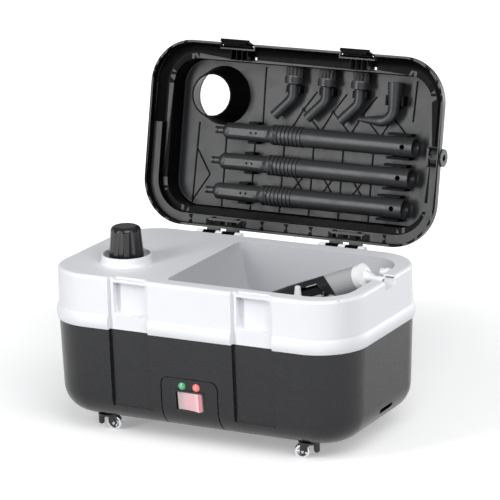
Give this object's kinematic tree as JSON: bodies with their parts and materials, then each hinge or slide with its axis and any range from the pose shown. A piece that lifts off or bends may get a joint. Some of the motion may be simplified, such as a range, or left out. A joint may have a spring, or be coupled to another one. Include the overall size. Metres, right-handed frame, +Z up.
{
  "type": "portable steam cleaner",
  "caption": "Portable steam cleaner on swivel casters: rounded two-tone case with a filler cap, tool bin, steam gun, rocker switch, and a hinged lid holding tubes and nozzles.",
  "frame": {"origin": "on the floor, below the centre of the casing", "axes": "+X to the right seen from the front, +Y to the rear, +Z up"},
  "size_m": [0.4538, 0.3796, 0.4855],
  "materials": {
    "base_plastic": "satin charcoal moulding",
    "deck_plastic": "satin pale grey moulding",
    "lid_plastic": "satin black moulding",
    "gloss_black": "polished black",
    "tool_plastic": "satin dark grey",
    "gun_plastic": "satin grey",
    "bristle": "stiff nylon",
    "white_plastic": "polished white",
    "rocker_red": "tinted translucent paddle",
    "lens_green": "tinted lens",
    "lens_red": "tinted lens",
    "chrome": "bright plating",
    "steel": "plain",
    "brass": "turned",
    "seal": "moulded",
    "ceramic": "unglazed",
    "caster_black": "satin"
  },
  "bodies": {
    "case": {"base_shell": "base_plastic", "switch_panel": "base_plastic", "switch_housing": "gloss_black", "lamp_green": "lens_green", "lamp_red": "lens_red", "deck_shell": "deck_plastic", "filler_collar": "deck_plastic", "hinge_pins": "steel", "boiler_tank": "steel", "boiler_mounts": "steel", "filler_neck": "brass", "heating_element": "brass", "ceramic_fittings": "ceramic", "pressure_switch": "gloss_black", "steam_valve": "steel", "steam_pipe": "brass", "steam_outlet": "white_plastic", "case_screws": "steel"},
    "rocker": {"rocker": "rocker_red"},
    "lid": {"lid_shell": "lid_plastic", "lid_rack": "lid_plastic", "cap_well": "lid_plastic", "latch_pins": "steel"},
    "latch_left": {"latch_left": "lid_plastic"},
    "latch_right": {"latch_right": "lid_plastic"},
    "cap_stem": {"cap_plug": "brass", "cap_seal": "seal"},
    "cap": {"filler_cap": "gloss_black"},
    "gun": {"gun_shell": "gun_plastic", "gun_core": "gloss_black", "trigger_pin": "steel", "gun_end_cap": "white_plastic", "hose_stem": "tool_plastic"},
    "trigger": {"gun_trigger": "gloss_black"},
    "funnel": {"funnel": "white_plastic"},
    "jet": {"jet_nozzle": "tool_plastic"},
    "tube_1": {"tube_1": "tool_plastic"},
    "tube_button_1": {"tube_button_1": "gun_plastic"},
    "brush_1": {"brush_1": "tool_plastic", "bristles_1": "bristle"},
    "tube_2": {"tube_2": "tool_plastic"},
    "tube_button_2": {"tube_button_2": "gun_plastic"},
    "brush_2": {"brush_2": "tool_plastic", "bristles_2": "bristle"},
    "tube_3": {"tube_3": "tool_plastic"},
    "tube_button_3": {"tube_button_3": "gun_plastic"},
    "brush_3": {"brush_3": "tool_plastic", "bristles_3": "bristle"},
    "caster_fl": {"caster_fork_fl": "caster_black", "caster_axle_fl": "steel"},
    "wheel_fl": {"caster_wheel_fl": "chrome"},
    "caster_rl": {"caster_fork_rl": "caster_black", "caster_axle_rl": "steel"},
    "wheel_rl": {"caster_wheel_rl": "chrome"},
    "caster_fr": {"caster_fork_fr": "caster_black", "caster_axle_fr": "steel"},
    "wheel_fr": {"caster_wheel_fr": "chrome"},
    "caster_rr": {"caster_fork_rr": "caster_black", "caster_axle_rr": "steel"},
    "wheel_rr": {"caster_wheel_rr": "chrome"}
  },
  "joints": [
    {"name": "rocker_tilt", "type": "hinge", "parent": "case", "child": "rocker", "pos_m": [-0.004, -0.11853, 0.06863], "axis": [0, -0.1045, 0.9945], "range_deg": [0, 14]},
    {"name": "lid_hinge", "type": "hinge", "parent": "case", "child": "lid", "pos_m": [0, 0.137, 0.22], "axis": [-1, 0, 0], "range_deg": [-102, 0]},
    {"name": "latch_left_swing", "type": "hinge", "parent": "lid", "child": "latch_left", "pos_m": [-0.091, 0.20125, 0.4742], "axis": [1, 0, 0], "range_deg": [-60, 15]},
    {"name": "latch_right_swing", "type": "hinge", "parent": "lid", "child": "latch_right", "pos_m": [0.091, 0.20125, 0.4742], "axis": [1, 0, 0], "range_deg": [-60, 15]},
    {"name": "cap_lift", "type": "slide", "parent": "case", "child": "cap_stem", "axis": [0, 0, 1], "range_m": [0, 0.012]},
    {"name": "cap_turn", "type": "hinge", "parent": "cap_stem", "child": "cap", "pos_m": [-0.1355, -0.051, 0.23], "axis": [0, 0, 1], "range_deg": [0, 1440]},
    {"name": "tube_1_lift", "type": "slide", "parent": "lid", "child": "tube_1", "axis": [0, -0.9781, 0.2079], "range_m": [0, 0.05]},
    {"name": "tube_1_button", "type": "slide", "parent": "tube_1", "child": "tube_button_1", "axis": [0, 0.9781, -0.2079], "range_m": [0, 0.002], "stiffness_N_per_m": 400, "springref_m": -0.001},
    {"name": "brush_1_lift", "type": "slide", "parent": "lid", "child": "brush_1", "axis": [0, -0.9781, 0.2079], "range_m": [0, 0.05]},
    {"name": "tube_2_lift", "type": "slide", "parent": "lid", "child": "tube_2", "axis": [0, -0.9781, 0.2079], "range_m": [0, 0.05]},
    {"name": "tube_2_button", "type": "slide", "parent": "tube_2", "child": "tube_button_2", "axis": [0, 0.9781, -0.2079], "range_m": [0, 0.002], "stiffness_N_per_m": 400, "springref_m": -0.001},
    {"name": "brush_2_lift", "type": "slide", "parent": "lid", "child": "brush_2", "axis": [0, -0.9781, 0.2079], "range_m": [0, 0.05]},
    {"name": "tube_3_lift", "type": "slide", "parent": "lid", "child": "tube_3", "axis": [0, -0.9781, 0.2079], "range_m": [0, 0.05]},
    {"name": "tube_3_button", "type": "slide", "parent": "tube_3", "child": "tube_button_3", "axis": [0, 0.9781, -0.2079], "range_m": [0, 0.002], "stiffness_N_per_m": 400, "springref_m": -0.001},
    {"name": "brush_3_lift", "type": "slide", "parent": "lid", "child": "brush_3", "axis": [0, -0.9781, 0.2079], "range_m": [0, 0.05]},
    {"name": "jet_lift", "type": "slide", "parent": "lid", "child": "jet", "axis": [0, -0.9781, 0.2079], "range_m": [0, 0.05]},
    {"name": "gun_lift", "type": "slide", "parent": "case", "child": "gun", "axis": [0, 0, 1], "range_m": [0, 0.12]},
    {"name": "trigger_squeeze", "type": "hinge", "parent": "gun", "child": "trigger", "pos_m": [0.12105, 0.03228, 0.19106], "axis": [0.1392, 0.9903, 0], "range_deg": [0, 8], "stiffness_Nm_per_rad": 0.3, "springref_deg": -5.73},
    {"name": "funnel_lift", "type": "slide", "parent": "case", "child": "funnel", "axis": [0, 0, 1], "range_m": [0, 0.15]},
    {"name": "caster_fl_swivel", "type": "hinge", "parent": "case", "child": "caster_fl", "pos_m": [-0.15, -0.088, 0.024], "axis": [0, 0, 1], "continuous": true},
    {"name": "wheel_fl_roll", "type": "hinge", "parent": "caster_fl", "child": "wheel_fl", "pos_m": [-0.14123, -0.08597, 0.0105], "axis": [-0.225, 0.9744, 0], "continuous": true},
    {"name": "caster_rl_swivel", "type": "hinge", "parent": "case", "child": "caster_rl", "pos_m": [-0.15, 0.088, 0.024], "axis": [0, 0, 1], "continuous": true},
    {"name": "wheel_rl_roll", "type": "hinge", "parent": "caster_rl", "child": "wheel_rl", "pos_m": [-0.15846, 0.08492, 0.0105], "axis": [0.342, -0.9397, 0], "continuous": true},
    {"name": "caster_fr_swivel", "type": "hinge", "parent": "case", "child": "caster_fr", "pos_m": [0.15, -0.088, 0.024], "axis": [0, 0, 1], "continuous": true},
    {"name": "wheel_fr_roll", "type": "hinge", "parent": "caster_fr", "child": "wheel_fr", "pos_m": [0.14198, -0.09209, 0.0105], "axis": [0.454, -0.891, 0], "continuous": true},
    {"name": "caster_rr_swivel", "type": "hinge", "parent": "case", "child": "caster_rr", "pos_m": [0.15, 0.088, 0.024], "axis": [0, 0, 1], "continuous": true},
    {"name": "wheel_rr_roll", "type": "hinge", "parent": "caster_rr", "child": "wheel_rr", "pos_m": [0.14221, 0.0925, 0.0105], "axis": [-0.5, -0.866, 0], "continuous": true}
  ],
  "couplings": [
    {"joint": "cap_lift", "follows": "cap_turn", "m_per_rad": 0.00047746}
  ]
}
